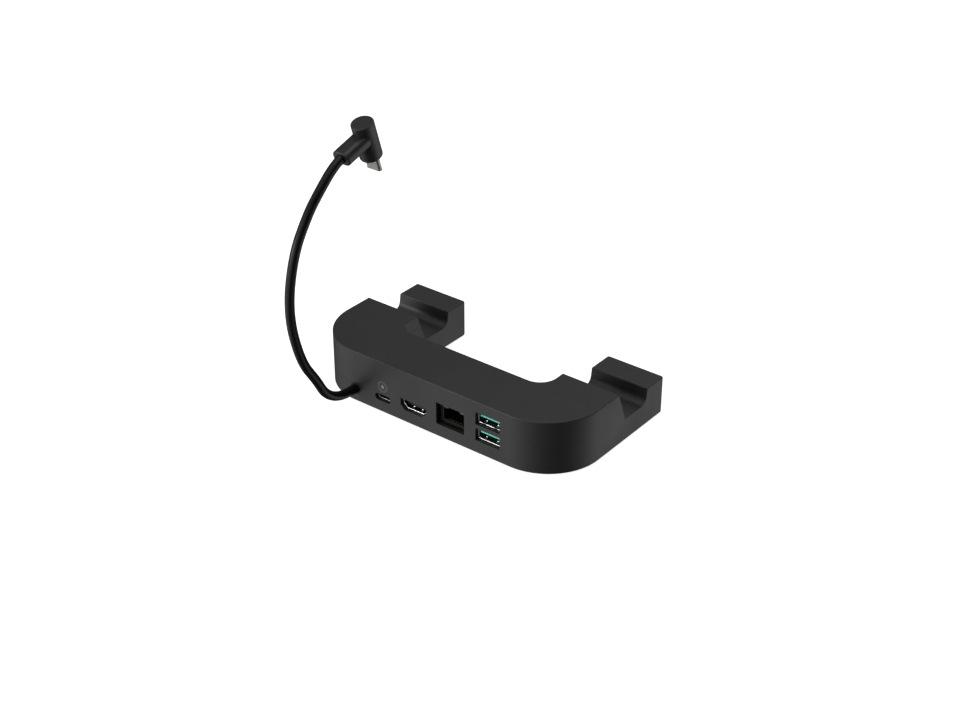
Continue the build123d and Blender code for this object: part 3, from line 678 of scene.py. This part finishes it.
class DOCK_OT_stage(bpy.types.Operator):
    """Adds the camera, the studio lights and the pale floor"""

    bl_idname = "dock.stage"
    bl_label = "Stage"

    def execute(self, context):
        scene = context.scene
        stage = scene.dock.stage
        target = Vector(stage.target)
        back = Vector(
            (
                math.sin(stage.azimuth) * math.cos(stage.elevation),
                -math.cos(stage.azimuth) * math.cos(stage.elevation),
                math.sin(stage.elevation),
            )
        )
        camera = bpy.data.objects.new("camera", bpy.data.cameras.new("camera"))
        camera.data.lens = stage.lens
        camera.data.sensor_width = 36.0
        camera.data.clip_start = 0.01
        camera.location = target + back * stage.distance
        camera.rotation_euler = back.to_track_quat("Z", "Y").to_euler()
        scene.collection.objects.link(camera)
        scene.camera = camera

        light = bpy.data.lights.new("top", "AREA")
        light.shape = "SQUARE"
        light.size = 0.9
        light.energy = stage.top_power
        holder = bpy.data.objects.new("top", light)
        holder.location = target + Vector((0.0, 0.0, 1.0))
        scene.collection.objects.link(holder)

        world = bpy.data.worlds.new("studio")
        world.use_nodes = True
        tree = world.node_tree
        sky = next(n for n in tree.nodes if n.type == "BACKGROUND")
        way = node(tree, "ShaderNodeTexCoord").outputs["Generated"]
        glow = 0.0
        for turn, height, focus, strength in (
            (-60.0, -25.0, 8.0, stage.table_left),
            (-30.0, -25.0, 8.0, stage.table_rear),
            (120.0, -25.0, 8.0, stage.table_right),
            (150.0, -25.0, 8.0, stage.table_front),
            (0.0, 10.0, 8.0, stage.rear_panel),
            (-33.0, 14.0, 60.0, stage.rear_lamp),
            (-60.0, 45.0, 8.0, stage.left_panel),
            (180.0, 45.0, 8.0, stage.front_panel),
        ):
            glow = calculate(tree, glow, soft_panel(tree, way, turn, height, focus, strength))
        seen = node(tree, "ShaderNodeLightPath").outputs["Is Camera Ray"]
        tree.links.new(blend_of(tree, seen, glow, (1.0, 1.0, 1.0, 1.0)), sky.inputs["Color"])
        scene.world = world
        scene.view_settings.view_transform = "Standard"

        half = 3.0
        grid = np.array([(-half, -half, 0.0), (half, -half, 0.0), (half, half, 0.0), (-half, half, 0.0)])
        mesh = bpy.data.meshes.new("floor")
        mesh.from_pydata(grid.tolist(), [], [(0, 1, 2, 3)])
        material, tree, shader, at = blank("floor")
        drift = node(tree, "ShaderNodeTexNoise", {"Vector": at, "Scale": 3.0, "Detail": 2.0})
        darker, lighter = shade(stage.floor_colour, 0.985), shade(stage.floor_colour, 1.015)
        tree.links.new(blend_of(tree, drift.outputs["Fac"], darker, lighter), shader.inputs["Base Color"])
        shader.inputs["Roughness"].default_value = 0.9
        shader.inputs["Specular IOR Level"].default_value = 0.1
        shader.inputs["Emission Color"].default_value = (1.0, 1.0, 1.0, 1.0)
        shader.inputs["Emission Strength"].default_value = stage.floor_glow
        mesh.materials.append(material)
        floor = bpy.data.objects.new("floor", mesh)
        floor.visible_diffuse = False
        floor.visible_glossy = False
        floor.visible_shadow = False
        scene.collection.objects.link(floor)
        return {"FINISHED"}


class DOCK_OT_lead(bpy.types.Operator):
    """Makes the free lead from the strain relief up to the plug, and finishes both ends"""

    bl_idname = "dock.lead"
    bl_label = "Lead and plug"

    def execute(self, context):
        plastics = context.scene.dock.plastics
        metals = context.scene.dock.metals
        details = context.scene.dock.details
        low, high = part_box("cable_gland")
        start = Vector(((low.x + high.x) / 2, low.y, (low.z + high.z) / 2))
        route = [start + Vector((0.0, -out, up)) for out, up in LEAD_STEPS]
        low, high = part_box("lead_tail")
        diameter = high.x - low.x
        curve = bpy.data.curves.new("lead_line", "CURVE")
        curve.dimensions = "3D"
        curve.resolution_u = 16
        curve.bevel_depth = diameter / 2
        curve.bevel_resolution = 8
        curve.use_fill_caps = True
        spline = curve.splines.new("NURBS")
        spline.points.add(len(route) - 1)
        for point, spot in zip(spline.points, route):
            point.co = (*spot, 1.0)
        spline.order_u = 3
        spline.use_endpoint_u = True
        lead = bpy.data.objects.new("lead_line", curve)
        context.scene.collection.objects.link(lead)
        jacket = rubber("lead jacket", plastics.jacket, roughness=0.42, level=0.35)
        curve.materials.append(jacket)
        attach(lead, "root")
        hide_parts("lead")
        dress(jacket, "lead_tail")
        dress(rubber("strain relief", plastics.rubber, roughness=0.6), "cable_gland")
        dress(moulded("plug plastic", plastics.plug, roughness=0.45, grain=0.0003), "plug_body")
        nose = sheet_metal("nose steel", metals.nose, roughness=0.3)
        dress(nose, "plug_nose")
        along = (route[-1] - route[-2]).normalized()
        down = along.cross(Vector((1.0, 0.0, 0.0)))
        mouth = np.array(route[-1] + along * PLUG_ARM + down * NOSE_DROP)
        ways = np.array([(1.0, 0.0, 0.0), along, down])

        def at_mouth(across, up, front):
            return mouth + np.stack([across, up, front], axis=-1) @ ways

        line, away = round_outline(slot_corners(NOSE_BREADTH, NOSE_HEIGHT), end_radius(NOSE_HEIGHT), 0.0003)
        lip = rolled_lip(line, away, 1.0, details.lip_breadth / 2, details.lip_proud / 2, at_mouth)
        finished("nose_lip", [lip], nose)
        dress(moulded("plug core", plastics.insert, roughness=0.4), "plug_core")
        return {"FINISHED"}


class DOCK_OT_housing(bpy.types.Operator):
    """Finishes the upper shell, the base plate and the feet"""

    bl_idname = "dock.housing"
    bl_label = "Housing"

    def execute(self, context):
        plastics = context.scene.dock.plastics
        groove = context.scene.dock.details.groove
        shell = moulded(
            "shell plastic", plastics.shell, plastics.roughness, plastics.grain, depth=0.000012, dust=0.04
        )
        dress(shell, "upper_shell")
        base = moulded("base plastic", plastics.base, roughness=0.6, grain=0.0006, depth=0.00002)
        dress(base, "base_plate")
        soft = rubber("foot rubber", plastics.rubber)
        for name in [name for name in NODES if name.startswith("foot_")]:
            low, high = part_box(name)
            radius = (high.x - low.x) / 2
            foot = ribbed_foot(low.x + radius, low.y + radius, radius, high.z, groove)
            finished(name.replace("foot_", "ribbed_foot_"), [foot], soft, [name])
        return {"FINISHED"}


class DOCK_OT_screws(bpy.types.Operator):
    """Finishes the screws under the base plate and on the board"""

    bl_idname = "dock.screws"
    bl_label = "Screws"

    def execute(self, context):
        metals = context.scene.dock.metals
        steel = sheet_metal("screw steel", metals.screw, roughness=0.35)
        dress(steel, "board_screws")
        low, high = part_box("base_screws")
        radius, thick = SCREW_HEAD
        inset = (high.y - low.y) / 2 - radius
        middle = (low.y + high.y) / 2
        screws = [
            cross_screw(x, y, low.z, SCREW_HEAD, SCREW_CORE, high.z - low.z - thick, turn)
            for x, y, turn in (
                (low.x + radius, middle - inset, 0.3),
                (high.x - radius, middle - inset, 1.1),
                (low.x + radius + FRONT_PAIR_INSET, middle + inset, 0.7),
                (high.x - radius - FRONT_PAIR_INSET, middle + inset, 1.4),
            )
        ]
        finished("cross_screws", screws, steel, ["base_screws"])
        return {"FINISHED"}


class DOCK_OT_sockets(bpy.types.Operator):
    """Finishes the sockets, and adds their rounded lips, contact springs and contact pads"""

    bl_idname = "dock.sockets"
    bl_label = "Sockets"

    def execute(self, context):
        plastics = context.scene.dock.plastics
        metals = context.scene.dock.metals
        details = context.scene.dock.details
        # The shells take a darkened copy of the socket steel, which paints the shade inside the sockets
        steel = sheet_metal("socket steel painted shade", metals.socket, roughness=0.25)
        # The lips and springs take a brightened copy of the shells' steel, as painted highlight
        bright = sheet_metal("lip steel painted highlight", metals.lip, roughness=0.16)
        black = moulded("socket black", plastics.insert, roughness=0.4, grain=0.0002)
        # Contacts take the darkened gold, as painted shade deep in the sockets
        gold = sheet_metal("contact gold painted shade", metals.contact, roughness=0.25)
        teal = moulded("tongue teal", plastics.tongue, roughness=0.35, grain=0.0002)
        dress(steel, "video_socket_shell", "type_a_shell_lower", "type_a_shell_upper")
        # The power inlet's shell is the socket steel darkened further, as painted shade in its mouth
        dress(sheet_metal("inlet steel painted shade", shade(metals.socket, 0.4)[:3], roughness=0.3), "power_inlet_shell")
        dress(moulded("inlet grey", plastics.inlet, roughness=0.4, grain=0.0002), "power_inlet_core")
        dress(black, "video_socket_core", "type_a_frame")
        dress(sheet_metal("shield steel", metals.shield, roughness=0.3), "network_shield")
        dress(moulded("jack black", plastics.insert, roughness=0.45, grain=0.0003), "network_housing")
        dress(resin("window amber", (0.12, 0.12, 0.08), clear=0.3), "network_light_left")
        dress(resin("window green", (0.20, 0.21, 0.12), clear=0.3), "network_light_right")
        dress(gold, "network_contacts", "type_a_contacts_lower", "type_a_contacts_upper")
        dress(teal, "type_a_core_lower", "type_a_core_upper")

        middle, breadth, height = mouth_of("power_inlet_shell")
        outline = round_outline(slot_corners(breadth, height), end_radius(height), 0.0003)
        add_lip("power_inlet_lip", outline, 1.0, middle, details, steel)
        middle, breadth, height = mouth_of("video_socket_shell", VIDEO_HEIGHT)
        outline = round_outline(video_corners(breadth, height, VIDEO_SLANT), 0.0003, 0.0003)
        add_lip("video_socket_lip", outline, 1.0, middle, details, bright)
        springs = two_springs(middle, height, breadth / 6, details)
        for level in ("lower", "upper"):
            middle, breadth, height = mouth_of(f"type_a_shell_{level}")
            line, away = round_outline(slot_corners(breadth, height), 0.00045, 0.0002)
            size = np.ones(len(line))
            if level == "upper":
                near = np.exp(-(((abs(line[:, 0]) - breadth / 4) / LIP_NOTCH) ** 4))
                size -= LIP_THINNER * near * (line[:, 1] < SHELL_WALL - height / 2)
            add_lip(f"type_a_lip_{level}", (line, away), size, middle, details, bright)
            springs += two_springs(middle, height, breadth / 4, details)
        finished("socket_springs", springs, bright)

        pads = []
        for name, shell, height, tongue, count, pitch, length in (
            ("power_inlet_core", "power_inlet_shell", None, POWER_TONGUE, 12, 0.0005, 0.0036),
            ("video_socket_core", "video_socket_shell", VIDEO_HEIGHT, VIDEO_TONGUE, 10, 0.001, 0.0058),
        ):
            (x, _, z), _, _ = mouth_of(shell, height)
            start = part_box(name)[0].y + PAD_SETBACK
            for side in (-1, 1):

                def on_tongue(across, deep, rise, x=x, start=start, level=z + side * tongue / 2, side=side):
                    return np.stack([x + across, start + deep, level + side * rise], axis=-1)

                row = contact_row(
                    count,
                    pitch,
                    breadth=pitch * 0.55,
                    length=length,
                    rise=0.00003,
                    sink=0.00004,
                    place=on_tongue,
                )
                pads.append(row)
        finished("tongue_contacts", pads, gold)
        return {"FINISHED"}


class DOCK_OT_status(bpy.types.Operator):
    """Finishes the printed ring, the light guide inside it and the diode behind"""

    bl_idname = "dock.status"
    bl_label = "Status light"

    def execute(self, context):
        dress(moulded("ring print", (0.095, 0.095, 0.097), roughness=0.6, grain=0.0002), "ring_mark")
        dress(resin("guide clear", (0.55, 0.56, 0.57), clear=0.5), "status_light_guide")
        dress(resin("diode resin", (0.75, 0.72, 0.55), clear=0.4), "status_led")
        return {"FINISHED"}


class DOCK_OT_board(bpy.types.Operator):
    """Finishes the main board and what stands on it"""

    bl_idname = "dock.board"
    bl_label = "Board"

    def execute(self, context):
        dress(laminate("board laminate", (0.01, 0.05, 0.025)), "main_board")
        chip = moulded("chip resin", (0.012, 0.012, 0.012), roughness=0.55, grain=0.00012)
        dress(chip, "hub_chip", "video_chip", "network_chip", "network_transformer")
        dress(moulded("ferrite", (0.03, 0.028, 0.027), roughness=0.65, grain=0.00015), "power_inductor")
        dress(sheet_metal("can metal", (0.6, 0.6, 0.6), roughness=0.3), "crystal", "capacitors")
        dress(moulded("terminal plastic", (0.55, 0.52, 0.45), roughness=0.5), "lead_terminal")
        return {"FINISHED"}


class DOCK_PT_panel(bpy.types.Panel):
    """Lists the dock's pieces and what can be changed on them"""

    bl_label = "Console dock"
    bl_idname = "DOCK_PT_panel"
    bl_space_type = "VIEW_3D"
    bl_region_type = "UI"
    bl_category = "Dock"

    def draw(self, context):
        for part in ("stage", "details", "plastics", "metals"):
            box = self.layout.box()
            values = getattr(context.scene.dock, part)
            for name in values.__annotations__:
                box.prop(values, name)
        for operator in OPERATORS:
            self.layout.operator(operator.bl_idname)


OPERATORS = (
    DOCK_OT_stage,
    DOCK_OT_lead,
    DOCK_OT_housing,
    DOCK_OT_screws,
    DOCK_OT_sockets,
    DOCK_OT_status,
    DOCK_OT_board,
)
CLASSES = (DockStage, DockDetails, DockPlastics, DockMetals, DockSettings, *OPERATORS, DOCK_PT_panel)


def register():
    """Makes the classes known to Blender and gives each scene its settings."""
    for each in CLASSES:
        bpy.utils.register_class(each)
    bpy.types.Scene.dock = PointerProperty(type=DockSettings)


def unregister():
    """Takes the settings and classes away again."""
    del bpy.types.Scene.dock
    for each in reversed(CLASSES):
        bpy.utils.unregister_class(each)


def main():
    """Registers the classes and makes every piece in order."""
    register()
    for operator in OPERATORS:
        family, name = operator.bl_idname.split(".")
        getattr(getattr(bpy.ops, family), name)()


if __name__ == "__main__":
    main()
